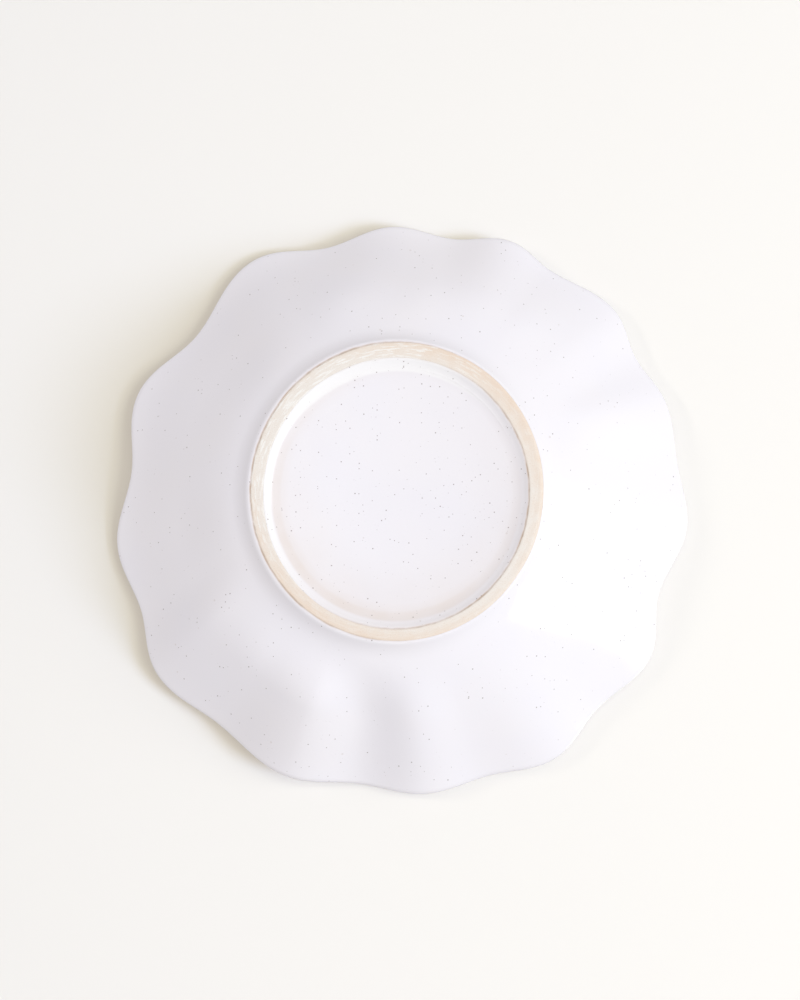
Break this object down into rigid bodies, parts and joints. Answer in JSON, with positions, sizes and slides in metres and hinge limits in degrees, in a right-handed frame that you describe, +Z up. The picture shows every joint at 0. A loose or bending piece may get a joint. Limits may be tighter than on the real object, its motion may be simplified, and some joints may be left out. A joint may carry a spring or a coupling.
{
  "type": "pasta plate",
  "caption": "Deep round stoneware pasta plate with an uneven lobed rim, speckled white glaze and a bare clay foot ring to stand on.",
  "frame": {"origin": "centre of the foot ring, on the surface that the plate stands on", "axes": "+Z up out of the bowl; X and Y across the plate, with the foot ring's long way along Y"},
  "size_m": [0.2807, 0.2824, 0.0527],
  "materials": {
    "bare_clay": "unglazed pale buff stoneware, matt, slightly rough",
    "white_glaze": "glossy white glaze with a faint lavender cast and fine brown specks"
  },
  "bodies": {
    "root": {"clay_body": "bare_clay", "foot_ring": "bare_clay", "inside_glaze": "white_glaze", "outside_glaze": "white_glaze", "foot_well_glaze": "white_glaze"}
  },
  "joints": []
}
